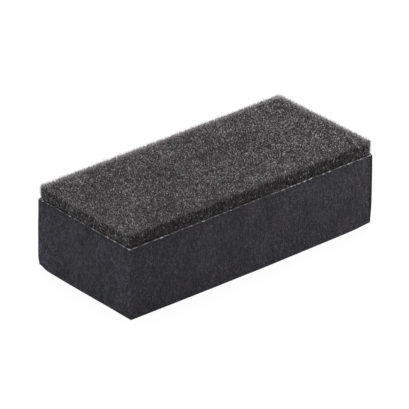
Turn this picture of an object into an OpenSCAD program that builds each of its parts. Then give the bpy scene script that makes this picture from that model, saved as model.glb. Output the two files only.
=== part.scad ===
// Applicator sponge. A block of dense closed-cell foam is the grip, and a short-pile pad is
// laminated on its working face with a film of adhesive. The block rests on its bare underside
// at z = 0, centred on the origin, with its length along X and the pile facing up.

/* [Foam block] */
// Length of the block
block_l = 90; // [70:1:110]
// Width of the block
block_w = 41.4; // [30:0.2:50]
// Height of the foam alone
foam_h = 22; // [12:0.1:35]
// Radius of the four upright edges
upright_r = 0.5; // [0.3:0.1:3]
// Radius of the rim round the underside
rim_r = 0.4; // [0.2:0.1:0.8]

/* [Adhesive film] */
// Thickness of the film
film_t = 0.45; // [0.1:0.05:0.8]
// How far the film's cut edge stands back from the foam
film_inset = 0.15; // [0.05:0.05:0.5]

/* [Pile pad] */
// Height from the film to the tips of the pile
pile_h = 4.5; // [3:0.1:8]
// How far the pile stands back from the foam where it is widest
pad_inset = 0.15; // [0.05:0.05:2]
// How far the glued foot of the pile is tucked in below its widest place
foot_tuck = 0.3; // [0:0.05:0.8]
// Radius of the pad's upright corners
pad_corner_r = 0.7; // [0.5:0.1:4]
// Radius of the soft shoulder round the working face
shoulder_r = 1; // [0.5:0.1:2]
// Distance from one tuft to the next
tuft_pitch = 1.15; // [1.1:0.05:3]
// Depth of the hollows between the tufts
tuft_relief = 0.35; // [0.05:0.05:0.5]

/* [Hidden] */
$fn = 48;

// The cutter of a rim reaches this far past the face that it cuts
overcut = 0.1;
// Angles at which rings are drawn over the shoulder of the pile. At 90 degrees it meets the
// grid of the working face, which needs no ring
shoulder_steps = [0, 30, 60];
// Start of the random numbers that set the tufts
tuft_seed = 7;

film_z = foam_h;
pad_z = film_z + film_t;

// ---- Foam block ----

// Half of the space between the axes of the upright edges
foam_core = [block_l / 2 - upright_r, block_w / 2 - upright_r];
// A rim can't be rounder than the upright edges that it runs round
foam_rim = min(rim_r, upright_r);

// Section of the block's outermost strip, from the axis of an upright edge to the outer face,
// with the rim rounded off at its foot
module edge_section() {
    rim_axis = [upright_r - foam_rim, foam_rim];
    difference() {
        square([upright_r, foam_h]);
        difference() {
            translate([rim_axis.x, -overcut]) square(foam_rim + overcut);
            translate(rim_axis) circle(r = foam_rim);
        }
    }
}

// The block is that one section carried round its outline: straight along each side, and turned
// a quarter about each upright edge
module foam_block() color("#2b2c2f") {
    translate([-foam_core.x, -foam_core.y, 0]) cube([2 * foam_core.x, 2 * foam_core.y, foam_h]);
    for (side = [0 : 3]) {
        reach = side % 2 == 0 ? foam_core.x : foam_core.y;
        run = side % 2 == 0 ? foam_core.y : foam_core.x;
        rotate(90 * side) translate([reach, run, 0]) {
            rotate([90, 0, 0]) linear_extrude(height = 2 * run) edge_section();
            rotate_extrude(angle = 90) edge_section();
        }
    }
}

// ---- Adhesive film ----

// A rectangle with round corners, centred on the origin
module rounded_plate(size, r) {
    square([size.x - 2 * r, size.y], center = true);
    square([size.x, size.y - 2 * r], center = true);
    for (x = [-1, 1], y = [-1, 1])
        translate([x * (size.x / 2 - r), y * (size.y / 2 - r)]) circle(r = r);
}

module adhesive_film() color("#a9abae") translate([0, 0, film_z])
    linear_extrude(height = film_t)
        rounded_plate([block_l - 2 * film_inset, block_w - 2 * film_inset], upright_r);

// ---- Pile pad ----
// The pad is one closed surface. Rings of points climb from its tucked foot, where it is glued,
// open out with the nap and turn over the shoulder, and a grid with the same points round its
// edge closes the top. Each point stands for a tuft, drawn back into the pile by a random share
// of the relief. On the side, half of that share belongs to the whole column, so that the tufts
// read as upright strands.

// Half of the pad's outline where it is widest
pad_half = [block_l / 2 - pad_inset, block_w / 2 - pad_inset];
// Each ring, from the foot up, is [how far it is set in from that outline, its height, how
// steeply the surface there faces up]
pad_rings = concat(
    [[foot_tuck, 0, 0], [0, (pile_h - shoulder_r) / 2, 0]],
    [for (a = shoulder_steps) [shoulder_r * (1 - cos(a)), pile_h - shoulder_r * (1 - sin(a)), a]]);

// Tufts along and across the working face
tufts = [round(2 * (pad_half.x - shoulder_r) / tuft_pitch),
         round(2 * (pad_half.y - shoulder_r) / tuft_pitch)];
// The grid places round the edge of the working face, in order
edge_walk = concat(
    [for (i = [0 : tufts.x - 1]) [i, 0]],
    [for (j = [0 : tufts.y - 1]) [tufts.x, j]],
    [for (i = [tufts.x : -1 : 1]) [i, tufts.y]],
    [for (j = [tufts.y : -1 : 1]) [0, j]]);

ring_n = len(edge_walk);
top_start = len(pad_rings) * ring_n;
top_n = (tufts.x + 1) * (tufts.y + 1);
tuft_depths = rands(0, tuft_relief, top_start + top_n, tuft_seed);

// Where a grid place lies on a rectangle of the given half sizes
function on_grid(place, half) =
    [half.x * (2 * place.x / tufts.x - 1), half.y * (2 * place.y / tufts.y - 1)];

// A point of that rectangle once its corners are round: within a corner's square, each L-shaped
// line of points bends to an arc about the corner's axis
function round_corner(p, half, r) =
    let (axis = [for (k = [0, 1]) max(r - half[k], min(half[k] - r, p[k]))],
         out = p - axis)
    norm(out) > 0 ? axis + out * max(abs(out.x), abs(out.y)) / norm(out) : p;

// How far the tuft at one step of the walk is drawn back on a ring. The foot is glued down flat
function ring_depth(level, step) =
    level == 0 ? 0 : (tuft_depths[ring_id(0, step)] + tuft_depths[ring_id(level, step)]) / 2;

// The tuft at one step of the walk, on a ring, drawn back square to the surface there
function ring_point(level, step) =
    let (ring = pad_rings[level],
         depth = ring_depth(level, step),
         half = pad_half - [1, 1] * (ring[0] + depth * cos(ring[2])),
         p = round_corner(on_grid(edge_walk[step], half), half, pad_corner_r))
    [p.x, p.y, pad_z + ring[1] - depth * sin(ring[2])];

// The tuft at a grid place of the working face
function top_point(place) =
    let (half = pad_half - [1, 1] * shoulder_r,
         p = round_corner(on_grid(place, half), half, pad_corner_r))
    [p.x, p.y, pad_z + pile_h - tuft_depths[top_id(place)]];

// Numbers of the points, as the faces call them
function ring_id(level, step) = level * ring_n + step % ring_n;
function top_id(place) = top_start + place.y * (tufts.x + 1) + place.x;
// One level up from the last ring is the edge of the working face
function level_id(level, step) =
    level < len(pad_rings) ? ring_id(level, step) : top_id(edge_walk[step % ring_n]);

// The two triangles of a four-sided patch, listed clockwise as seen from outside
function patch(a, b, c, d) = [[a, c, b], [a, d, c]];

pad_points = concat(
    [for (level = [0 : len(pad_rings) - 1], step = [0 : ring_n - 1]) ring_point(level, step)],
    [for (j = [0 : tufts.y], i = [0 : tufts.x]) top_point([i, j])],
    [[0, 0, pad_z]]);
foot_centre = top_start + top_n;

pad_faces = concat(
    [for (step = [0 : ring_n - 1]) [foot_centre, ring_id(0, step), ring_id(0, step + 1)]],
    [for (level = [0 : len(pad_rings) - 1], step = [0 : ring_n - 1])
        each patch(level_id(level, step), level_id(level, step + 1),
                   level_id(level + 1, step + 1), level_id(level + 1, step))],
    [for (j = [0 : tufts.y - 1], i = [0 : tufts.x - 1])
        each patch(top_id([i, j]), top_id([i + 1, j]), top_id([i + 1, j + 1]), top_id([i, j + 1]))]);

module pile_pad() color("#55565a") polyhedron(points = pad_points, faces = pad_faces, convexity = 4);

foam_block();
adhesive_film();
pile_pad();
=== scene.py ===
# %% [markdown]
# # Applicator sponge
# This lesson dresses a small hand tool: a block of dark closed-cell foam with a pad of short pile
# glued to its working face. The CAD model already fixes every size. The frame holds it still, and
# each piece made here goes exactly where the CAD says.

# %% Load the fixed frame
import math

import bpy
import numpy as np
from mathutils import Matrix, Vector


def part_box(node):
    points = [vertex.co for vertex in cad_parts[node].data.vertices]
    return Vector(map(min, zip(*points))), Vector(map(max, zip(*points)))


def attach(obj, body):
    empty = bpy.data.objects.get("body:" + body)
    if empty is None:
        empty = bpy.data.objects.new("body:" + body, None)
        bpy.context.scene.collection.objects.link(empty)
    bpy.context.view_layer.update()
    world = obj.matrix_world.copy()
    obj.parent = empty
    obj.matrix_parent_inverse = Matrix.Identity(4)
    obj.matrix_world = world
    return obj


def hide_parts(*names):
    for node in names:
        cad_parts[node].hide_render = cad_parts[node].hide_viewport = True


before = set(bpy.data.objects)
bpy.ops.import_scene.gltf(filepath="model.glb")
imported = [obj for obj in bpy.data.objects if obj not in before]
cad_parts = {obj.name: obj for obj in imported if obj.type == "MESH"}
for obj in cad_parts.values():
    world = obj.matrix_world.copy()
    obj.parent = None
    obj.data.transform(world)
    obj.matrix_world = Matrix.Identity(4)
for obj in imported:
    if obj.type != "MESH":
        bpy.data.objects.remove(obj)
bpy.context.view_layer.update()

MM = 0.001
foam_low, foam_high = (np.array(corner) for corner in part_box("foam_block"))
film_low, film_high = (np.array(corner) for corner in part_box("adhesive_film"))
pad_low, pad_high = (np.array(corner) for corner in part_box("pile_pad"))

# %% [markdown]
# ## The camera
# A long lens from far away keeps the upright edges nearly parallel, which suits a small product.
# A camera can be dragged into place by hand, but then nobody can read its direction. Here two
# angles, a roll and a distance place it. It looks down on the block over its left near corner.

# %% Place the camera
AZIMUTH = math.radians(-40.03)
ELEVATION = math.radians(27.26)
ROLL = math.radians(-0.37)
DISTANCE = 1.3218
LENS = 406.1
SENSOR = 36.0
FAR_CLIP = 20.0
# How far the picture's centre lies to the right of the centre of the base, and above it
AIM = np.array([-0.784, 11.742]) * MM

back = np.array([math.sin(AZIMUTH) * math.cos(ELEVATION),
                 -math.cos(AZIMUTH) * math.cos(ELEVATION),
                 math.sin(ELEVATION)])
level = np.array([math.cos(AZIMUTH), math.sin(AZIMUTH), 0.0])
upward = np.cross(back, level)
right = math.cos(ROLL) * level + math.sin(ROLL) * upward
up = math.cos(ROLL) * upward - math.sin(ROLL) * level

lens = bpy.data.cameras.new("camera")
lens.lens = LENS
lens.sensor_width = SENSOR
lens.clip_end = FAR_CLIP
camera = bpy.data.objects.new("camera", lens)
bpy.context.scene.collection.objects.link(camera)
stand = np.eye(4)
stand[:3, 0] = right
stand[:3, 1] = up
stand[:3, 2] = back
stand[:3, 3] = AIM[0] * right + AIM[1] * up + DISTANCE * back
camera.matrix_world = Matrix(stand)
bpy.context.scene.camera = camera
print("camera stands at", np.round(stand[:3, 3], 4))

# %% [markdown]
# ## A box made of grids
# Foam, glue and the ground of the pile are all boxes with soft edges. A box could be a cube with
# a bevel, but its flat faces would have no points to move. Here the points are a lattice: six
# grids that share their border points, so that the skin is closed, and every face can be waved or
# pressed. The lattice is made first with sharp edges, and its edges are rounded afterwards.

# %% Grid lines and lattice
# Degrees of turn over a rounded end, one for each grid line there
TURNS = [15.0, 30.0, 45.0]


def stops(low, high, round_low, round_high, pitch):
    """Places of the grid lines along one axis: even steps of about pitch between the two rounded
    ends, and one line over each rounded end for each of TURNS, as far beyond the flat part as
    the radius times the tangent of the turn."""
    turn = np.tan(np.radians(TURNS))
    flat_low = low + round_low
    flat_high = high - round_high
    count = max(1, round((flat_high - flat_low) / pitch))
    middle = np.linspace(flat_low, flat_high, count + 1)
    return np.concatenate([flat_low - round_low * turn[::-1], middle,
                           flat_high + round_high * turn])


def lattice(lines):
    """Points on the outside of a box lattice, and the four-sided faces that join them, in six
    groups: low x, high x, low y, high y, low z, high z. Each face lists its corners so that it
    points outwards."""
    shape = [len(line) for line in lines]
    outside = np.ones(shape, bool)
    outside[1:-1, 1:-1, 1:-1] = False
    ids = np.full(shape, -1)
    ids[outside] = np.arange(outside.sum())
    where = np.nonzero(outside)
    points = np.stack([line[k] for line, k in zip(lines, where)], axis=1)
    sheets = [ids[0].T, ids[-1], ids[:, 0], ids[:, -1].T, ids[:, :, 0].T, ids[:, :, -1]]
    faces = [np.stack([s[:-1, :-1], s[1:, :-1], s[1:, 1:], s[:-1, 1:]], axis=-1).reshape(-1, 4)
             for s in sheets]
    return points, faces


# %% Rounded edges
def soften(points, low, high, round_low, round_high):
    """Round the edges of a box. A point beyond the flat part on some axes is measured from there
    in radii, and that offset is brought to length one. Returns the points and the direction in
    which the surface faces."""
    flat_low = low + round_low
    flat_high = high - round_high
    core = np.clip(points, flat_low, flat_high)
    radius = np.where(points < core, round_low, round_high)
    offset = (points - core) / radius
    facing = offset / np.linalg.norm(offset, axis=1, keepdims=True)
    return core + radius * facing, facing


# %% [markdown]
# ## A flat map for each box
# A pattern that has to be stored as a picture needs a flat map: a place on a sheet for every
# corner of every face. An automatic unwrap would do, but its islands change with each small edit.
# The six grids are already flat, so they are laid out side by side, each at its own scale.

# %% Flat map
MAP_GAP = 0.01


def unfold(points, faces, low, high, side_room):
    """Flat map of the six grids, side by side with a gap of MAP_GAP of the length: underside and
    top above each other, then the two long sides, with the two ends in a column on the right.
    side_room is the height given to the sides."""
    size = high - low
    gap = MAP_GAP * size[0]
    ends_left = size[0] + gap
    rows = np.cumsum([0, size[1] + gap, size[1] + gap, side_room + gap])
    # For each group: the axis across, the axis up, its left and lower place, its width and height
    layout = [(1, 2, ends_left, 0, size[1], side_room),
              (1, 2, ends_left, side_room + gap, size[1], side_room),
              (0, 2, 0, rows[2], size[0], side_room),
              (0, 2, 0, rows[3], size[0], side_room),
              (0, 1, 0, rows[0], size[0], size[1]),
              (0, 1, 0, rows[1], size[0], size[1])]
    share = (points - low) / size
    span = max(ends_left + size[1], rows[3] + side_room) + 2 * gap
    maps = [np.stack([left + share[f, a] * width, foot + share[f, b] * height], axis=-1)
            for f, (a, b, left, foot, width, height) in zip(faces, layout)]
    return (np.concatenate(maps) + gap) / span


# %% [markdown]
# ## Unevenness and the faults of handwork
# Nothing cut and glued by hand is true. Random numbers for each point would only look rough, so
# the unevenness is a sum of sine waves, which is smooth at any spacing of the points. The faults
# of the whole object are shared by all its pieces, or they would come apart: one corner is a
# little out of square, the soft block swells at the foot of its near side and sinks in at its
# left end, and the pad sits a little off the edge of the foam.

# %% Waves and faults
def random_waves(points, shortest, longest, count, seed):
    """Smooth unevenness between about -1 and 1: the sum of count sine waves that run in random
    directions, with lengths from shortest to longest, divided by the root of twice count."""
    draw = np.random.default_rng(seed)
    heading = draw.normal(size=(count, 3))
    heading /= np.linalg.norm(heading, axis=1, keepdims=True)
    pitch = np.exp(draw.uniform(np.log(shortest), np.log(longest), count))
    phase = draw.uniform(0, 2 * np.pi, count)
    waves = np.sin(points @ (2 * np.pi * heading / pitch[:, None]).T + phase)
    return waves.sum(1) / np.sqrt(2 * count)


SKEW = np.array([-0.17, 0.15, 0]) * MM
BELLY = 0.5 * MM
HOLLOW = 0.2 * MM
FAR_INSET = 0.2 * MM
OPENING = 0.2 * MM


def settle(points):
    """The faults of the whole object. The left near corner is out of square by SKEW, which fades
    to nothing at the other three corners. At the foot of the foam the near side swells by BELLY
    and the left end sinks in by HOLLOW, each as half a sine wave along the side. The pad lies
    FAR_INSET in from the far side, and both its ends open by OPENING towards its top."""
    share = ((foam_high - points) / (foam_high - foam_low)).clip(0, 1)
    points = points + SKEW * (share[:, 0] * share[:, 1])[:, None]
    points[:, 1] -= BELLY * np.sin(np.pi * share[:, 0]) * share[:, 1] * share[:, 2]
    points[:, 0] += HOLLOW * np.sin(np.pi * share[:, 1]) * share[:, 0] * share[:, 2]
    half = (foam_high - foam_low) / 2
    on_pad = ((points[:, 2] - foam_high[2]) / (pad_high[2] - foam_high[2])).clip(0, 1)
    points[:, 1] -= FAR_INSET * (points[:, 1] / half[1]).clip(0, 1) * (on_pad > 0)
    points[:, 0] += OPENING * (points[:, 0] / half[0]).clip(-1, 1) * on_pad
    return points


# %% [markdown]
# ## From arrays to a mesh
# Blender can add points one at a time, but a pile has hundreds of thousands of them. foreach_set
# hands over a whole array at once. The mesh lies in its place, so the object stays at the origin.

# %% Helper for mesh pieces
def mesh_piece(name, points, faces, flat_map, material, node):
    """Put points, equal-sided faces and the flat map, one place for each corner of each face,
    into a new smooth mesh object at the origin, which stands for that CAD node."""
    points = settle(points)
    mesh = bpy.data.meshes.new(name)
    mesh.vertices.add(len(points))
    mesh.vertices.foreach_set("co", points.astype(np.float32).ravel())
    mesh.loops.add(faces.size)
    mesh.loops.foreach_set("vertex_index", faces.astype(np.int32).ravel())
    mesh.polygons.add(len(faces))
    first_corners = np.arange(0, faces.size, faces.shape[1], dtype=np.int32)
    mesh.polygons.foreach_set("loop_start", first_corners)
    mesh.polygons.foreach_set("use_smooth", np.ones(len(faces), bool))
    layer = mesh.uv_layers.new(name="OFBake")
    layer.uv.foreach_set("vector", flat_map.reshape(-1, 2).astype(np.float32).ravel())
    mesh.update(calc_edges=True)
    mesh.validate()
    mesh.materials.append(material)
    piece = bpy.data.objects.new(name, mesh)
    bpy.context.scene.collection.objects.link(piece)
    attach(piece, "root")
    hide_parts(node)
    print(f"{name}: {len(points)} points, {len(faces) * (faces.shape[1] - 2)} triangles")
    return piece


# %% [markdown]
# ## Materials from nodes
# Each finish is a Principled shader with a few textures in front of it. Two small helpers keep
# the trees readable: one starts a material, the other adds a node and fills its sockets. The rest
# make what the finishes share: a ramp, a noise, a product, a step of arithmetic and a bump.

# %% Helpers for materials
def start_material(name):
    """A new material, its node tree and its Principled shader."""
    material = bpy.data.materials.new(name)
    material.use_nodes = True
    return material, material.node_tree, material.node_tree.nodes["Principled BSDF"]


def add(tree, kind, properties=None, **sockets):
    """Add a node of that kind. properties sets its options. A socket is given a number, a colour,
    or another node's output, by its name with _ for a space, or by _0, _1 for its place."""
    node = tree.nodes.new("ShaderNode" + kind)
    for key, value in (properties or {}).items():
        setattr(node, key, value)
    for key, value in sockets.items():
        socket = node.inputs[int(key[1:])] if key[0] == "_" else node.inputs[key.replace("_", " ")]
        if isinstance(value, bpy.types.NodeSocket):
            tree.links.new(value, socket)
        else:
            socket.default_value = value
    return node


def ramp(tree, value, places, colours):
    """A colour ramp driven by value, with the given places and colours."""
    node = tree.nodes.new("ShaderNodeValToRGB")
    while len(node.color_ramp.elements) < len(places):
        node.color_ramp.elements.new(0.5)
    for element, where, colour in zip(node.color_ramp.elements, places, colours):
        element.position = where
        element.color = colour if hasattr(colour, "__len__") else (colour, colour, colour, 1.0)
    tree.links.new(value, node.inputs[0])
    return node.outputs["Color"]


# %% More helpers for materials
def object_place(tree):
    """The place on the object, in metres."""
    return add(tree, "TexCoord").outputs["Object"]


def noise(tree, stretch, scale, detail=2.0, roughness=0.5):
    """A noise texture on Object coordinates. stretch multiplies each axis first, so a small
    number there draws the pattern out along that axis."""
    fitted = add(tree, "Mapping", _0=object_place(tree), Scale=stretch).outputs[0]
    cloud = add(tree, "TexNoise", Vector=fitted, Scale=scale, Detail=detail, Roughness=roughness)
    return cloud.outputs[0]


def multiply(tree, *colours):
    """All the colours multiplied, one after the other."""
    product = colours[0]
    for colour in colours[1:]:
        options = {"data_type": "RGBA", "blend_type": "MULTIPLY"}
        product = add(tree, "Mix", options, _0=1.0, _6=product, _7=colour).outputs[2]
    return product


def calculate(tree, operation, first, second=0.0):
    """One step of arithmetic on two values."""
    return add(tree, "Math", {"operation": operation}, _0=first, _1=second).outputs[0]


def bump(tree, height, distance, normal=None):
    """A bump of that height pattern, distance metres deep. normal is an earlier bump below it."""
    node = add(tree, "Bump", Distance=distance, Height=height)
    if normal is not None:
        tree.links.new(normal, node.inputs["Normal"])
    return node.outputs[0]


# %% [markdown]
# ## The finish of the foam
# The grip is cut from a sheet of dense closed-cell foam. Its skin shows thousands of opened
# bubbles, a little dust in some of them, and faint upright marks from the knife. The ends were
# sawn off a longer bar, and show blotches instead. Bubbles this small could be modelled only with
# millions of faces, so they belong in the material: a Voronoi pattern is the bubbles, and noise at
# several scales is the grain, the marks and the cloudy unevenness of the dye. Each layer
# multiplies the colour by a little more or less than one.

# %% Foam colour
# Scales are in features for each metre. A ramp's values are shares of the foam's colour.
FOAM_COLOUR = (0.0210, 0.0198, 0.0247, 1.0)
BUBBLE_SCALE = 2300.0
GRAIN_SCALE = 2600.0
foam, tree, shader = start_material("closed_cell_foam")
clouds = ramp(tree, noise(tree, (1, 1, 0.7), 170.0, 3.0), [0.3, 0.7], [0.84, 1.16])
knife_marks = ramp(tree, noise(tree, (1, 1, 0.15), 900.0), [0.3, 0.7], [0.89, 1.11])
saw_marks = ramp(tree, noise(tree, (5, 1, 1), 600.0), [0.4, 0.6], [0.72, 1.28])
grain = ramp(tree, noise(tree, (1, 1, 1), GRAIN_SCALE), [0.34, 0.66], [0.48, 1.68])
dye = ramp(tree, noise(tree, (1, 1, 1), 110.0, 3.0), [0.35, 0.65],
           [(1.05, 0.97, 1.04, 1), (0.94, 1.03, 1.0, 1)])
bubbles = add(tree, "TexVoronoi", {"feature": "F1"}, Vector=object_place(tree),
              Scale=BUBBLE_SCALE)
dust = add(tree, "SeparateXYZ", _0=bubbles.outputs["Color"]).outputs[0]
dust = ramp(tree, dust, [0.0, 0.85, 1.0], [0.76, 1.12, 1.7])
foam_tint = multiply(tree, FOAM_COLOUR, clouds, knife_marks, saw_marks, grain, dye, dust)
print("foam is made of", len(tree.nodes), "nodes so far")

# %% [markdown]
# ## Painted light and shade on the foam
# Three things set parts of the foam apart. Just under the pad a strip of painted shade ends in a
# painted highlight along the top edge. Of the four upright edges, the two on the left carry a
# painted highlight, and the two on the right painted shade. The long sides are painted darker
# towards their left ends, as shade, so they meet the paler sawn end in a crisp line. All this
# follows from the place on the block alone, so it is worked out from Object coordinates: the
# height for the strip under the pad, the sum of the two level distances from the middle for the
# edges, and the distance from the left end for the shade of the long sides.

# %% Painted light and shade on the foam, and its relief
UNDER_PAD_PAINT_HEIGHT = 1.2 * MM
# A band of painted highlight on the left upright edges and of painted shade on the right ones,
# measured inwards from where a sharp corner would be
EDGE_START = 2.0 * MM
EDGE_END = 0.9 * MM
LEFT_EDGE_HIGHLIGHT = 1.2
RIGHT_EDGE_SHADE = 0.38
LEFT_SHADE_REACH = 7.0 * MM
LEFT_SHADE_TONE = 0.7
# How far in from a long side the painted shade of its left end starts, and where it is at its full
# tone
LEFT_SHADE_START = 0.3 * MM
LEFT_SHADE_END = 0.12 * MM
PIT_DEPTH = 0.04 * MM
GRAIN_DEPTH = 0.03 * MM
split = add(tree, "SeparateXYZ", _0=object_place(tree))
# Painted shade in a strip just under the pad, then a painted highlight along the top edge
under_pad_shade_and_highlight = add(tree, "MapRange", _0=split.outputs[2], _1=foam_high[2] - UNDER_PAD_PAINT_HEIGHT, _2=foam_high[2])
under_pad_shade_and_highlight = ramp(tree, under_pad_shade_and_highlight.outputs[0], [0.0, 0.4, 0.75, 0.9], [1.0, 0.84, 0.84, 1.3])
from_middle = [calculate(tree, "ABSOLUTE", split.outputs[k]) for k in range(2)]
side_reach = calculate(tree, "ADD", *from_middle)
sharp_reach = foam_high[0] + foam_high[1]
# Painted highlight on the left upright edges and painted shade on the right ones
edge_highlight_and_shade_tone = add(tree, "MapRange", _0=split.outputs[0], _1=foam_low[0], _2=foam_high[0],
                _3=LEFT_EDGE_HIGHLIGHT, _4=RIGHT_EDGE_SHADE).outputs[0]
painted_edge_light = add(tree, "MapRange", _0=side_reach, _1=sharp_reach - EDGE_START, _2=sharp_reach - EDGE_END,
           _3=1.0, _4=edge_highlight_and_shade_tone).outputs[0]
# Painted shade on the long sides, darkest at their left ends
left_shade_tone = add(tree, "MapRange", _0=split.outputs[0], _1=foam_low[0], _2=foam_low[0] + LEFT_SHADE_REACH,
                _3=LEFT_SHADE_TONE, _4=1.0).outputs[0]
skin = add(tree, "MapRange", _0=from_middle[1], _1=foam_high[1] - LEFT_SHADE_START,
           _2=foam_high[1] - LEFT_SHADE_END, _3=1.0, _4=left_shade_tone).outputs[0]
tree.links.new(multiply(tree, foam_tint, under_pad_shade_and_highlight, painted_edge_light, skin), shader.inputs["Base Color"])
pits = ramp(tree, bubbles.outputs["Distance"], [0.0, 0.35], [0.0, 1.0])
relief = bump(tree, grain, GRAIN_DEPTH, bump(tree, pits, PIT_DEPTH))
tree.links.new(relief, shader.inputs["Normal"])
shader.inputs["Roughness"].default_value = 0.8
shader.inputs["Specular IOR Level"].default_value = 0.15
print("foam is made of", len(tree.nodes), "nodes")

# %% [markdown]
# ## The shape of the foam
# A block of foam is never as true as a block of wood. Its sides are drawn in by a few hundredths
# of a millimetre where the knife wandered, it stands a little wider at one lower corner, and two of
# its lower corners are squashed from lying in a box. A sculpting brush could do this, but a
# formula can be read and changed: a bell curve round each corner says how much of a push each
# point gets.

# %% Foam box
UPRIGHT_R = 0.5 * MM
RIM_R = 0.4 * MM
CUT_R = 0.12 * MM
FOAM_PITCH = 0.6 * MM
KNIFE_WANDER = 0.05 * MM
WANDER_LENGTHS = (6 * MM, 30 * MM)
SIDES_ONLY = np.array([1.0, 1.0, 0.0])
foam_round_low = np.array([UPRIGHT_R, UPRIGHT_R, RIM_R])
foam_round_high = np.array([UPRIGHT_R, UPRIGHT_R, CUT_R])
lines = [stops(foam_low[k], foam_high[k], foam_round_low[k], foam_round_high[k], FOAM_PITCH)
         for k in range(3)]
points, faces = lattice(lines)
flat_map = unfold(points, faces, foam_low, foam_high, foam_high[2] - foam_low[2])
points, facing = soften(points, foam_low, foam_high, foam_round_low, foam_round_high)
wave = random_waves(points, *WANDER_LENGTHS, 24, 11)
points = points - facing * SIDES_ONLY * (KNIFE_WANDER * (1 + wave))[:, None]
print("foam box:", len(points), "points")


# %% Squashed corners
def press(points, corner, push, reach):
    """Move the points near a corner by push. The share falls off as the bell curve of the distance
    to the corner over reach."""
    distance = np.linalg.norm(points - corner, axis=1, keepdims=True)
    return points + push * np.exp(-(distance / reach) ** 2)


FLARE = np.array([-0.4, 0.4, 0]) * MM
left_far = np.array([foam_low[0], foam_high[1], 0])
right_near = np.array([foam_high[0], foam_low[1], 0])
# Each squash is a corner, the push there and the reach of its bell curve
SQUASHES = [(left_far, np.array([0, 0, 0.45]) * MM, 11.0 * MM),
            (left_far, np.array([0, -0.7, 0.9]) * MM, 2.6 * MM),
            (right_near, np.array([-0.55, 0, 0.4]) * MM, 4.5 * MM)]
low_share = (1 - (points[:, 2:] - foam_low[2]) / (foam_high[2] - foam_low[2])).clip(0, 1)
left_share = (points[:, :1] / foam_low[0]).clip(0, 1)
far_share = ((points[:, 1:2] / foam_high[1] + 1) / 2).clip(0, 1)
points = points + low_share * left_share * far_share * FLARE
for corner, push, reach in SQUASHES:
    points = press(points, corner, push, reach)
foam_piece = mesh_piece("foam_grip", points, np.concatenate(faces), flat_map, foam,
                        "foam_block")

# %% [markdown]
# ## The finish of the glue line
# A film of adhesive bonds the pad to the foam. Only its cut edge shows, as a pale line that comes
# and goes where the glue has drawn back or squeezed out. A dashed line could be drawn along the
# edge, but it would look ruled. A noise, cut at a level that about a third of it passes, gives
# dashes of every length. The upper part of the edge is darkened with painted shade, where the pile
# hangs over it.

# %% Glue finish
GLUE_RELIEF = 0.08 * MM
glue, tree, shader = start_material("adhesive_edge")
dashes = noise(tree, (1, 1, 0.4), 1300.0, 2.0, 0.6)
glue_tint = ramp(tree, dashes, [0.42, 0.49, 0.56, 0.66], [0.015, 0.05, 0.205, 0.56])
rise = add(tree, "SeparateXYZ", _0=object_place(tree)).outputs[2]
rise = add(tree, "MapRange", _0=rise, _1=film_low[2], _2=film_high[2]).outputs[0]
# Painted shade on the upper part of the glue edge, where the pile hangs over it
painted_pile_shade = ramp(tree, rise, [0.4, 0.7], [1.0, 0.2])
tree.links.new(multiply(tree, glue_tint, painted_pile_shade), shader.inputs["Base Color"])
tree.links.new(bump(tree, dashes, GLUE_RELIEF), shader.inputs["Normal"])
shader.inputs["Roughness"].default_value = 0.45
print("glue is made of", len(tree.nodes), "nodes")

# %% [markdown]
# ## The shape of the glue line
# Glue that is pressed between two layers ends in beads and hollows. The film is another box of
# grids, but its waves are as long as the beads, and they move the edge both ways, so that it
# stands out of the seam in one place and hides in it in the next.

# %% Glue shape
GLUE_R = 0.12 * MM
GLUE_PITCH = (0.7 * MM, 0.7 * MM, 0.1 * MM)
GLUE_MAP_HEIGHT = 5 * MM
BEAD_DEPTH = 0.1 * MM
BEAD_LENGTHS = (1.2 * MM, 6 * MM)
glue_round = np.array([UPRIGHT_R, UPRIGHT_R, GLUE_R])
lines = [stops(film_low[k], film_high[k], glue_round[k], glue_round[k], GLUE_PITCH[k])
         for k in range(3)]
points, faces = lattice(lines)
flat_map = unfold(points, faces, film_low, film_high, GLUE_MAP_HEIGHT)
points, facing = soften(points, film_low, film_high, glue_round, glue_round)
beads = random_waves(points, *BEAD_LENGTHS, 40, 12)
points = points + facing * SIDES_ONLY * (BEAD_DEPTH * beads)[:, None]
mesh_piece("glue_line", points, np.concatenate(faces), flat_map, glue, "adhesive_film")

# %% [markdown]
# ## Strands
# The pile is real fibres, not a picture of them, because its soft outline against a pale ground
# is what makes it look like pile. Blender's hair system could grow them, but hair is lost when the
# model leaves Blender. So every fibre is a thin closed spike that bends a little, and one function
# makes them all at once: arrays of roots and tips go in, and one mesh comes out.

# %% Points of the strands
def strand_points(root, tip, bend, thickness, stations, widths, seed):
    """Points of closed strands with a three-sided section, one strand for each row of root and
    tip. The centre line goes straight from root to tip as t runs from 0 to 1, and adds bend times
    4 t (1 - t), most at its middle. A ring of three points stands at each of the stations of t,
    with half the thickness times its share in widths as its radius. The first and last points are
    the root and the tip."""
    count = len(root)
    t = np.array(stations)[None, :, None]
    reach = (tip - root)[:, None, :]
    arch = bend[:, None, :]
    centre = root[:, None, :] + reach * t + arch * 4 * t * (1 - t)
    along = reach + arch * 4 * (1 - 2 * t)
    along /= np.linalg.norm(along, axis=2, keepdims=True)
    turn = np.random.default_rng(seed).uniform(0, 2 * np.pi, count)
    across = np.stack([np.cos(turn), np.sin(turn), np.zeros(count)], axis=1)[:, None, :]
    across = across - along * (across * along).sum(2, keepdims=True)
    across /= np.linalg.norm(across, axis=2, keepdims=True)
    other = np.cross(along, across)
    angle = 2 * np.pi * np.arange(3) / 3
    radius = 0.5 * thickness[:, None, None] * np.array(widths)[None, :, None]
    ring = (across[:, :, None, :] * np.cos(angle)[:, None]
            + other[:, :, None, :] * np.sin(angle)[:, None])
    skin = centre[:, :, None, :] + ring * radius[..., None]
    return np.concatenate([root[:, None, :], skin.reshape(count, -1, 3), tip[:, None, :]], axis=1)


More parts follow.
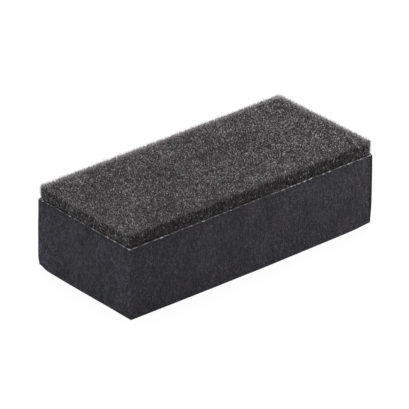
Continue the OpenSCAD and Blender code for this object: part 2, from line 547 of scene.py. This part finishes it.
# %% Faces and flat map of the strands
def strand_faces(count, rings):
    """Triangles of count strands: three at the root, six between each ring and the next, and three
    at the tip, all facing outwards. Each strand's numbers follow on from the one before."""
    each = 3 * rings + 2
    s, c = np.meshgrid(np.arange(rings - 1), np.arange(3), indexing="ij")
    here, there = 1 + 3 * s + c, 1 + 3 * s + (c + 1) % 3
    walls = np.concatenate([np.stack([here, there, there + 3], -1).reshape(-1, 3),
                            np.stack([here, there + 3, here + 3], -1).reshape(-1, 3)])
    last = 1 + 3 * (rings - 1)
    tip_end = np.array([[last + k, last + (k + 1) % 3, each - 1] for k in range(3)])
    root_end = np.array([[1 + (k + 1) % 3, 1 + k, 0] for k in range(3)])
    one = np.concatenate([root_end, walls, tip_end])
    return (one[None] + each * np.arange(count)[:, None, None]).reshape(-1, 3)


# The start and the room on the flat map, across and upwards. LANE is the width of a strand, and
# V_STEP keeps its rings from lying in a line.
LANE = 0.012
U_START, U_ROOM = 0.005, 0.985
V_START, V_ROOM = 0.01, 0.97
V_STEP = 0.008
HAIR_ROOM = 0.8 * MM


def strand_map(points, faces, tone, rings):
    """Flat map of the strands: across is the strand's tone, in a lane of its own width, and up is
    the height in the pile, from the pad's foot to HAIR_ROOM above its top. So a finish that reads
    this map can give each fibre its own shade."""
    corner_u = np.concatenate([[LANE / 3], np.tile(np.arange(3) * LANE / 3, rings), [LANE / 3]])
    u = U_START + tone[:, None] * (U_ROOM - LANE) + corner_u[None]
    pile_reach = pad_high[2] - pad_low[2] + HAIR_ROOM
    v = V_START + V_ROOM * ((points[:, :, 2] - pad_low[2]) / pile_reach).clip(0, 1)
    v[:, 2::3] += V_STEP
    return np.stack([u.ravel(), v.ravel()], axis=1)[faces]


# %% A piece of pile
SIZE_SPREAD = 0.25


def strands(name, root, tip, arch, thickness, tone, stations, widths, draw, seed):
    """One piece of the pile. arch is the bend of each strand, which is level. Its thickness is
    the given one times e to the power of SIZE_SPREAD times a normal draw. Tones are kept between
    0 and 1."""
    count = len(root)
    bend = np.column_stack([arch, np.zeros(count)])
    size = thickness * np.exp(SIZE_SPREAD * draw.normal(size=count))
    points = strand_points(root, tip, bend, size, stations, widths, seed)
    faces = strand_faces(count, len(stations))
    flat_map = strand_map(points, faces, tone.clip(0, 1), len(stations))
    return mesh_piece(name, points.reshape(-1, 3), faces, flat_map, pile, "pile_pad")


# %% [markdown]
# ## The finish of the pile
# A dark-grey pile is never one grey. Each fibre takes the dye a little differently and turns
# another side to the light, so it runs from nearly black to pale, with a touch of blue, mauve,
# green or brown. A noise would paint across many fibres at once. Here each fibre carries its own
# tone on its flat map, and a ramp of thirteen greys turns it into a colour, with the four hues
# taken in turn. The height on the same map darkens the fibres towards their roots, where little
# light gets in.

# %% Pile finish
TONE_STEPS = 13
DARKEST = 0.0078
TONE_RANGE = 66.0
# Blue, mauve, green and brown, as shares of red, green and blue
HUES = np.array([[1.00, 1.01, 1.08], [1.28, 0.87, 1.12], [0.84, 1.15, 0.96], [1.32, 0.95, 0.86]])
pile, tree, shader = start_material("short_pile")
flat = add(tree, "SeparateXYZ", _0=add(tree, "UVMap", {"uv_map": "OFBake"}).outputs[0])
steps = np.arange(TONE_STEPS)
greys = DARKEST * TONE_RANGE ** (steps / (TONE_STEPS - 1))
colours = np.column_stack([greys[:, None] * HUES[steps % len(HUES)], np.ones(TONE_STEPS)])
tones = ramp(tree, flat.outputs[0], steps / (TONE_STEPS - 1), colours)
depth_shade = ramp(tree, flat.outputs[1], [0.0, 0.2, 0.58, 0.72, 0.84, 1.0],
                   [0.78, 0.55, 0.56, 0.68, 0.87, 0.90])
tree.links.new(multiply(tree, tones, depth_shade), shader.inputs["Base Color"])
shader.inputs["Roughness"].default_value = 0.5
shader.inputs["Specular IOR Level"].default_value = 0.3
print("pile greys run from", round(greys[0], 4), "to", round(greys[-1], 3))

# %% [markdown]
# ## The ground of the pile
# Between the fibres of real pile the eye meets the cloth that they are tufted through and the
# crowd of their lower ends. Fibres alone would leave gaps down to the glue. So a dark lumpy
# cushion stands inside the pile, about a millimetre below its tips, and stops the view.

# %% Ground finish
GROUND_RELIEF = 0.2 * MM
ground, tree, shader = start_material("pile_ground")
depth = ramp(tree, noise(tree, (1, 1, 1), 1800.0, 3.0), [0.3, 0.7], [0.008, 0.03])
tree.links.new(depth, shader.inputs["Base Color"])
tree.links.new(bump(tree, depth, GROUND_RELIEF), shader.inputs["Normal"])
shader.inputs["Roughness"].default_value = 0.9
shader.inputs["Specular IOR Level"].default_value = 0.1
print("ground is made of", len(tree.nodes), "nodes")

# %% Ground shape
GROUND_INSET = 0.6 * MM
GROUND_DROP = 1.1 * MM
GROUND_PITCH = 0.6 * MM
LUMP_DEPTH = 0.15 * MM
LUMP_LENGTHS = (1.2 * MM, 3 * MM)
LUMP_START = 0.5 * MM
ground_low = pad_low + np.array([GROUND_INSET, GROUND_INSET, 0])
ground_high = pad_high - np.array([GROUND_INSET, GROUND_INSET, GROUND_DROP])
ground_round_low = np.array([0.6, 0.6, 0.3]) * MM
ground_round_high = np.array([0.6, 0.6, 0.8]) * MM
lines = [stops(ground_low[k], ground_high[k], ground_round_low[k], ground_round_high[k],
               GROUND_PITCH) for k in range(3)]
points, faces = lattice(lines)
flat_map = unfold(points, faces, ground_low, ground_high, ground_high[2] - ground_low[2])
points, facing = soften(points, ground_low, ground_high, ground_round_low, ground_round_high)
lumps = random_waves(points, *LUMP_LENGTHS, 40, 13)
above_foot = (points[:, 2] > ground_low[2] + LUMP_START).astype(float)
points = points + facing * (LUMP_DEPTH * lumps * above_foot)[:, None]
ground_piece = mesh_piece("pile_ground", points, np.concatenate(faces), flat_map, ground,
                          "pile_pad")

# %% [markdown]
# ## Fibres of the working face
# Short pile is tufted in rows and then sheared, so its tips end almost level, and the rows vanish
# under the random lean of the fibres. A plain grid would show its rows, and places drawn at random
# would leave bald spots. A jittered hexagonal grid has neither fault. Neighbours lean together a
# little, as brushed pile does, and four layers of fibres from thick and low to fine and high give
# the face its speckle.

# %% Places and lean
# The distance between the rows of a hexagonal grid, and how far a place may move, in steps
ROW_STEP = 0.866
JITTER = 0.45
SWIRL_LENGTHS = (1.5 * MM, 5 * MM)


def scatter(half, pitch, seed):
    """Places on a rectangle of that half size: a hexagonal grid of about that pitch, each place
    moved at random by up to JITTER of a step."""
    draw = np.random.default_rng(seed)
    across = int(2 * half[0] / pitch)
    down = int(2 * half[1] / (pitch * ROW_STEP))
    i, j = np.meshgrid(np.arange(across), np.arange(down), indexing="ij")
    x = (i + 0.5 + 0.5 * (j % 2) - 0.25) / across * 2 - 1
    y = (j + 0.5) / down * 2 - 1
    spots = np.stack([x.ravel() * half[0], y.ravel() * half[1]], axis=1)
    return spots + draw.uniform(-JITTER, JITTER, spots.shape) * pitch


def swirl(spots, seed):
    """A lean direction for each place that turns slowly over the face: two wave sums taken as the
    two parts of an arrow."""
    return np.stack([random_waves(spots, *SWIRL_LENGTHS, 40, seed),
                     random_waves(spots, *SWIRL_LENGTHS, 40, seed + 1)], axis=1)


# %% [markdown]
# ## The shoulder of the pile
# At its edges a pile pad isn't cut square. The outer fibres have no neighbours to hold them up, so
# their tips end lower, and lowest at the corners. The nap here is brushed towards the near left
# corner, which leaves the far and right edges thinner. Each edge has its own width and drop.

# %% Round corners and shoulder
PAD_HALF = (pad_high - pad_low)[:2] / 2
FACE_CORNER_R = 1.6 * MM
CLOSED_SHARE = 0.25


def within_corners(places, half, radius):
    """Whether each place lies on a rectangle of that half size with rounded corners: beyond the
    axes of its corners it is no further than radius from them."""
    beyond = (np.abs(places) - (half - radius)).clip(0, None)
    return np.linalg.norm(beyond, axis=1) <= radius


def corner_share(places, reach):
    """How near each place is to a corner of the pad: the bell curve of its distance from the
    nearest one over reach. The left near corner counts only CLOSED_SHARE, because its pile still
    lies closed."""
    nearness = np.exp(-((PAD_HALF - np.abs(places)) ** 2).sum(1) / reach ** 2)
    closed = (places < 0).all(axis=1)
    return nearness * np.where(closed, CLOSED_SHARE, 1.0)


# In the order right, far, left, near
SHOULDER_WIDTH = np.array([2.0, 2.6, 1.0, 1.0]) * MM
SHOULDER_DROP = np.array([0.9, 1.3, 0.6, 0.45]) * MM
THINNING_WIDTH = np.array([2.4, 3.0, 2.0, 2.0]) * MM
THINNING_DROP = np.array([0.8, 1.0, 0.5, 0.5]) * MM
CORNER_DROP = 0.6 * MM
CORNER_REACH = 2.0 * MM


def shoulder_drop(spots, half, luck):
    """How far the tip of a fibre at each place lies below the level face. Near an edge it is the
    shoulder's drop times the square of the nearness, and a random share of the thinning's drop
    times the nearness, each taken from the edge where it is greatest. Corners drop further."""
    gaps = np.stack([half[0] - spots[:, 0], half[1] - spots[:, 1],
                     half[0] + spots[:, 0], half[1] + spots[:, 1]])
    near = (1 - gaps / SHOULDER_WIDTH[:, None]).clip(0, 1)
    fairly_near = (1 - gaps / THINNING_WIDTH[:, None]).clip(0, 1)
    return ((SHOULDER_DROP[:, None] * near ** 2).max(0)
            + (THINNING_DROP[:, None] * fairly_near).max(0) * luck
            + CORNER_DROP * corner_share(spots, CORNER_REACH))


# %% Fibres of the face
PILE_INSET = 0.25 * MM
OWN_LEAN = 0.95
SHARED_LEAN = 0.3
BEND_SPREAD = 0.06 * MM
TIP_LIMIT = 2.2
# Low hills move the tips and the tone, and wide patches move the tone alone
HILL_LENGTHS = (1.2 * MM, 5 * MM)
HILL_HEIGHT = 0.05 * MM
HILL_TONE = 0.03
PATCH_LENGTHS = (6 * MM, 20 * MM)
PATCH_TONE = 0.06
# Painted glints: how much further apart the tones lie at the right end
PAINTED_GLINT_RISE = 0.16
TONE_FALL = 0.035


def face_fibres(name, pitch, length, tip_mean, tip_spread, lean, thickness, tone_mean, tone_spread,
                ring_at, seed):
    """Fibres that stand on the working face, each with one ring, at ring_at of its length. Its tip
    lies tip_mean above the pad's top, give or take tip_spread, and lower over the shoulder. It
    leans its own way and a little with its neighbours. Towards the right end the tones lie further
    apart, as painted glints where the light grazes the pile, and closer together at the left end.
    TONE_FALL lowers the tones towards the right end and raises them towards the left, so that both
    ends are about as pale."""
    draw = np.random.default_rng(seed)
    half = PAD_HALF - PILE_INSET
    places = scatter(half, pitch, seed + 1)
    places = places[within_corners(places, half, FACE_CORNER_R)]
    count = len(places)
    spots = np.column_stack([places, np.zeros(count)])
    flow = lean * (OWN_LEAN * draw.normal(size=(count, 2)) + SHARED_LEAN * swirl(spots, 40))
    hills = random_waves(spots, *HILL_LENGTHS, 40, 42)
    patches = random_waves(spots, *PATCH_LENGTHS, 24, 43)
    top = pad_high[2] + tip_mean + tip_spread * draw.normal(size=count).clip(-TIP_LIMIT, TIP_LIMIT)
    top = top + HILL_HEIGHT * hills - shoulder_drop(places, half, draw.uniform(0, 1, count))
    root = np.column_stack([places - flow / 2, top - length])
    tip = np.column_stack([places + flow / 2, top])
    arch = -flow / 6 + BEND_SPREAD * draw.normal(size=(count, 2))
    along = places[:, 0] / half[0]
    # The tones spread wider towards the right end as painted glints
    spread = tone_spread * (1 + PAINTED_GLINT_RISE * along)
    tone = tone_mean - TONE_FALL * along + spread * draw.normal(size=count)
    tone = tone + HILL_TONE * hills + PATCH_TONE * patches
    return strands(name, root, tip, arch, thickness, tone, (ring_at,), (1.0,), draw, seed + 2)


face_fibres("pile_undercoat", pitch=0.40 * MM, length=0.9 * MM, tip_mean=-0.3 * MM,
            tip_spread=0.1 * MM, lean=0.3 * MM, thickness=0.34 * MM,
            tone_mean=0.26, tone_spread=0.30, ring_at=0.7, seed=50)
for name, thickness, seed in (("pile_coat", 0.25 * MM, 60), ("pile_coat_second", 0.21 * MM, 65)):
    face_fibres(name, pitch=0.37 * MM, length=0.7 * MM, tip_mean=-0.1 * MM,
                tip_spread=0.07 * MM, lean=0.35 * MM, thickness=thickness,
                tone_mean=0.355, tone_spread=0.39, ring_at=0.75, seed=seed)
face_fibres("pile_tips", pitch=0.62 * MM, length=0.9 * MM, tip_mean=0.0 * MM,
            tip_spread=0.12 * MM, lean=0.5 * MM, thickness=0.09 * MM,
            tone_mean=0.74, tone_spread=0.25, ring_at=0.6, seed=70)

# %% [markdown]
# ## Fibres of the cut sides
# Where the pad is cut, the side shows the fibres along their length, broken up by others that
# cross them. Long upright fibres alone would look like grass. So an inner row of full length
# closes the side, and thousands of short fibres, started at every height, lie over it.

# %% Walk round the outline
def walk_outline(half, radius, count):
    """Places evenly spaced round a rectangle with rounded corners, and the way out of it at each
    one: four straight runs and four quarter turns, joined end to end."""
    straight = 2 * (half - radius)
    quarter = np.pi * radius / 2
    runs = np.array([straight[1], quarter, straight[0], quarter] * 2)
    ends = np.cumsum(runs)
    far = (np.arange(count) + 0.5) / count * ends[-1]
    leg = np.searchsorted(ends, far)
    part = (far - (ends - runs)[leg]) / runs[leg]
    # The corner that each leg starts from or turns about, in order from the right side
    corners = np.array([[1, -1], [1, 1], [1, 1], [-1, 1], [-1, 1], [-1, -1], [-1, -1], [1, -1]])
    heading = np.radians([0, 0, 90, 90, 180, 180, 270, 270])
    angle = heading[leg] + np.where(leg % 2 == 1, part * np.pi / 2, 0)
    out = np.stack([np.cos(angle), np.sin(angle)], axis=1)
    travel = np.stack([-np.sin(heading[leg]), np.cos(heading[leg])], axis=1)
    run = np.where(leg % 2 == 0, part * runs[leg], 0)
    return (corners * (half - radius))[leg] + radius * out + travel * run[:, None], out


def sideways(out):
    """The way along the outline: the way out, turned by a right angle."""
    return np.stack([-out[:, 1], out[:, 0]], axis=1)


# %% Side fibres
CORNER_R = 1.3 * MM
DEPTH_SPREAD = 0.08 * MM
SPLAY_SPREAD = 0.12 * MM
LENGTH_SPREAD = 0.2
ARCH_SPREAD = 0.1 * MM
TOP_GAP = 0.4 * MM
RIGHT_SHADE = 0.10
OPENED_TONE = 0.3


def side_fibres(name, inset, count, lowest, highest, length, splay, sway, thickness, tone_mean,
                tone_spread, stations, widths, seed):
    """Fibres along the cut sides. Each starts at a random height between lowest and highest above
    the pad's foot and rises by about length, splayed outwards a little and swayed to either side.
    The right end lies in shade, so its fibres are darker by RIGHT_SHADE, and those of the left
    end are as much paler. Round the upright corners they are brushed open, and paler too."""
    draw = np.random.default_rng(seed)
    places, out = walk_outline(PAD_HALF - inset, CORNER_R, count)
    order = draw.permutation(count)
    places, out = places[order], out[order]
    places = places + out * DEPTH_SPREAD * draw.normal(size=(count, 1))
    foot = pad_low[2] + draw.uniform(lowest, highest, count)
    lean = (out * (splay + SPLAY_SPREAD * draw.normal(size=(count, 1)))
            + sideways(out) * sway * draw.normal(size=(count, 1)))
    top = foot + length * np.exp(LENGTH_SPREAD * draw.normal(size=count))
    top = np.minimum(top, pad_high[2] - TOP_GAP)
    root = np.column_stack([places, foot])
    tip = np.column_stack([places + lean, top])
    arch = sideways(out) * ARCH_SPREAD * draw.normal(size=(count, 1))
    tone = (tone_mean + tone_spread * draw.normal(size=count) - RIGHT_SHADE * out[:, 0]
            + OPENED_TONE * corner_share(places, CORNER_REACH))
    return strands(name, root, tip, arch, thickness, tone, stations, widths, draw, seed + 2)


side_fibres("pile_side_inner", inset=0.55 * MM, count=1000, lowest=-0.1 * MM, highest=0.1 * MM,
            length=3.2 * MM, splay=0.1 * MM, sway=0.4 * MM, thickness=0.42 * MM,
            tone_mean=0.28, tone_spread=0.15, stations=(0.0, 0.3, 0.6, 0.88),
            widths=(1, 0.9, 0.7, 0.45), seed=80)
side_fibres("pile_side_coat", inset=0.36 * MM, count=12000, lowest=-0.35 * MM, highest=3.2 * MM,
            length=0.85 * MM, splay=0.1 * MM, sway=0.35 * MM, thickness=0.27 * MM,
            tone_mean=0.38, tone_spread=0.28, stations=(0.65,), widths=(1,), seed=90)

# %% [markdown]
# ## Loose hairs round the edge
# A few fibres always escape the shears. Against the dark face they hardly show, but along the
# outline they make a pale fringe, so that it fades instead of ending. They are finer than the rest,
# and there are more of them along the far and right edges, where the nap is brushed thin.

# %% Edge hairs
HAIR_THICKNESS = 0.055 * MM
EDGE_HAIR_LENGTH = 1.3 * MM
# Shares of the hairs that are kept: along the near and left edges, and the rest of the others
EDGE_SHARE, BRUSHED_EDGE_SHARE = 0.45, 0.55
# How far in the bell curve reaches, and how much further along the far and right edges
EDGE_DEPTH, BRUSHED_DEPTH = 1.0 * MM, 0.4 * MM
EDGE_DROP, EDGE_RISE_SPREAD = 0.1 * MM, 0.42 * MM
EDGE_LEAN_OUT, EDGE_LEAN_ALONG, EDGE_BEND = 0.3 * MM, 0.5 * MM, 0.12 * MM
# The tone along the near edge, the painted rim light that the far and right edges add, the
# painted light that the left one adds, and its spread
EDGE_TONE, PAINTED_RIM_TONE, PAINTED_LEFT_LIGHT_TONE, EDGE_TONE_SPREAD = 0.66, 0.31, 0.16, 0.12


def edge_hairs(name, count, seed):
    """Fine hairs near the edge of the working face, densest at the edge itself: the distance in
    from it is half of a bell curve. They stand up and lean at random. Of those along the near and
    left edges just under half are kept. They are darkest along the near edge, palest along the far
    and right ones as painted rim light, and a little paler along the left one as painted light."""
    draw = np.random.default_rng(seed)
    places, out = walk_outline(PAD_HALF - PILE_INSET, CORNER_R, count)
    brushed = out.max(axis=1).clip(0, 1)
    keep = draw.uniform(size=count) < EDGE_SHARE + BRUSHED_EDGE_SHARE * brushed
    places, out, brushed = places[keep], out[keep], brushed[keep]
    count = len(places)
    depth = EDGE_DEPTH + BRUSHED_DEPTH * brushed[:, None]
    places = places - out * np.abs(draw.normal(size=(count, 1))) * depth
    top = pad_high[2] - EDGE_DROP + EDGE_RISE_SPREAD * draw.normal(size=count).clip(-2, 2)
    root = np.column_stack([places, np.full(count, pad_high[2] - EDGE_HAIR_LENGTH)])
    lean = (out * EDGE_LEAN_OUT * draw.normal(size=(count, 1))
            + sideways(out) * EDGE_LEAN_ALONG * draw.normal(size=(count, 1)))
    tip = np.column_stack([places + lean, top])
    arch = EDGE_BEND * draw.normal(size=(count, 2))
    # Paler along the far and right edges as painted rim light, and along the left one as painted
    # light
    tone = (EDGE_TONE + PAINTED_RIM_TONE * brushed + PAINTED_LEFT_LIGHT_TONE * (-out[:, 0]).clip(0, 1)
            + EDGE_TONE_SPREAD * draw.normal(size=count))
    return strands(name, root, tip, arch, HAIR_THICKNESS, tone, (0.4,), (1,), draw, seed + 1)


edge_hairs("pile_edge_hairs", 18000, 95)


# %% Side hairs
# Shares of the hairs that are kept: anywhere, on the far and right sides, and at the corners
SIDE_SHARE, BRUSHED_SIDE_SHARE, OPENED_SHARE = 0.05, 0.3, 0.9
HAIR_CORNER_REACH = 2.5 * MM
HAIR_LOWEST, HAIR_HIGHEST = 0.5 * MM, 3.8 * MM
HAIR_ROOT_DEPTH = 0.4 * MM
HAIR_REACH, OPENED_REACH, HAIR_SPREAD = 0.1 * MM, 0.3 * MM, 0.25 * MM
HAIR_RISE = 0.4 * MM
HAIR_BEND = 0.05 * MM
HAIR_TONE, HAIR_TONE_SPREAD = 0.92, 0.1


def side_hairs(name, count, seed):
    """Fine hairs that stand out of the cut sides. Each leaves the side at a random height and
    points outwards, a little up and a little to one side. Most of them are at the upright corners,
    where they are longer too, and on the far and right sides."""
    draw = np.random.default_rng(seed)
    places, out = walk_outline(PAD_HALF - PILE_INSET, CORNER_R, count)
    opened = corner_share(places, HAIR_CORNER_REACH)
    keep = draw.uniform(size=count) < (SIDE_SHARE + BRUSHED_SIDE_SHARE * out.max(axis=1).clip(0, 1)
                                       + OPENED_SHARE * opened)
    places, out, opened = places[keep], out[keep], opened[keep]
    count = len(places)
    foot = pad_low[2] + draw.uniform(HAIR_LOWEST, HAIR_HIGHEST, count)
    root = np.column_stack([places - out * HAIR_ROOT_DEPTH, foot])
    reach = (HAIR_REACH + OPENED_REACH * opened[:, None]
             + HAIR_SPREAD * np.abs(draw.normal(size=(count, 1))).clip(0, 2))
    lean = out * reach + sideways(out) * HAIR_SPREAD * draw.normal(size=(count, 1))
    tip = np.column_stack([places + lean, foot + HAIR_RISE * draw.uniform(0.2, 1.0, count)])
    arch = HAIR_BEND * draw.normal(size=(count, 2))
    tone = HAIR_TONE + HAIR_TONE_SPREAD * draw.normal(size=count)
    return strands(name, root, tip, arch, HAIR_THICKNESS, tone, (0.4,), (1,), draw, seed + 1)


side_hairs("pile_side_hairs", 22000, 97)

# %% [markdown]
# ## The floor
# The block stands on a white floor. Matt white alone would look grey under such soft lamps, and
# stronger lamps would make the block too pale. So what the camera and a reflection see is nearly
# all pure white, with a small share of matt paint that takes the shadow. The light that bounces
# back on to the block comes from the paint alone.

# %% Floor finish
def seen_directly(tree):
    """One for a ray from the camera, a reflection or a clear material, and nought for the rest."""
    path = add(tree, "LightPath")
    seen = calculate(tree, "MAXIMUM", path.outputs["Is Camera Ray"], path.outputs["Is Glossy Ray"])
    return calculate(tree, "MAXIMUM", seen, path.outputs["Is Transmission Ray"])


FLOOR_WHITE_SHARE = 0.94
FLOOR_PAINT = (0.9, 0.9, 0.9, 1)
floor_look = bpy.data.materials.new("floor")
floor_look.use_nodes = True
tree = floor_look.node_tree
tree.nodes.clear()
share = calculate(tree, "MULTIPLY", seen_directly(tree), FLOOR_WHITE_SHARE)
matt = add(tree, "BsdfDiffuse", Color=FLOOR_PAINT).outputs[0]
white = add(tree, "Emission", Color=(1, 1, 1, 1), Strength=1.0).outputs[0]
add(tree, "OutputMaterial", Surface=add(tree, "MixShader", _0=share, _1=matt, _2=white).outputs[0])
print("floor is made of", len(tree.nodes), "nodes")

# %% Floor
FLOOR_HALF = 1.5
FLOOR_DROP = 0.02 * MM
corners = np.array([[-1, -1, 0], [1, -1, 0], [1, 1, 0], [-1, 1, 0]]) * FLOOR_HALF
corners[:, 2] = -FLOOR_DROP
floor_mesh = bpy.data.meshes.new("floor")
floor_mesh.from_pydata(corners.tolist(), [], [[0, 1, 2, 3]])
floor_mesh.materials.append(floor_look)
floor = bpy.data.objects.new("floor", floor_mesh)
bpy.context.scene.collection.objects.link(floor)
print("floor is", 2 * FLOOR_HALF, "m wide")

# %% [markdown]
# ## The world
# Soft light from all round fills the shadows, as the white walls of a light tent do. It is weaker
# than the white that the camera sees, because a dark foam under full white would look grey.

# %% World
FILL_STRENGTH = 0.6
world = bpy.data.worlds.new("studio")
bpy.context.scene.world = world
world.use_nodes = True
tree = world.node_tree
tree.nodes.clear()
fill = add(tree, "Background", Color=(1, 1, 1, 1), Strength=FILL_STRENGTH).outputs[0]
plain = add(tree, "Background", Color=(1, 1, 1, 1), Strength=1.0).outputs[0]
both = add(tree, "MixShader", _0=seen_directly(tree), _1=fill, _2=plain).outputs[0]
add(tree, "OutputWorld", Surface=both)
print("fill light", FILL_STRENGTH)

# %% [markdown]
# ## The lamps
# A large lamp high above is the key light. Two weak lamps separate the two sides that the camera
# sees: a small one stands close before the long side, nearer its right end, and one, a little
# bluer, stands further off before the short side. Next to the key they give little light, so that
# the top keeps its tone.

# %% Lamps
BLOCK_MIDDLE = np.array([0, 0, 0.013])


def lamp(name, stands_at, size, watts, colour=(1.0, 1.0, 1.0)):
    """A square soft lamp that points at the middle of the block and can't be seen itself."""
    light = bpy.data.lights.new(name, "AREA")
    light.size = size
    light.energy = watts
    light.color = colour
    fixture = bpy.data.objects.new(name, light)
    toward = BLOCK_MIDDLE - np.array(stands_at)
    fixture.location = stands_at
    fixture.visible_camera = False
    fixture.rotation_euler = Vector(toward).to_track_quat("-Z", "Y").to_euler()
    bpy.context.scene.collection.objects.link(fixture)
    print(f"lamp {name}: {watts} W at {np.linalg.norm(toward):.2f} m")


lamp("key", (0.15, 0.3, 0.9), 0.7, 9.05)
lamp("right", (0.09, -0.085, 0.06), 0.08, 0.06)
lamp("left", (-0.7, 0.0, 0.5), 0.5, 1.9, (0.9, 0.97, 1.15))

# %% [markdown]
# ## Finish
# The view transform stays plain, so that a colour renders as it is written. Only the loose hairs
# and the swell at the foot of the foam may stand proud of the box of the CAD model.

# %% Finish
bpy.context.scene.view_settings.view_transform = "Standard"
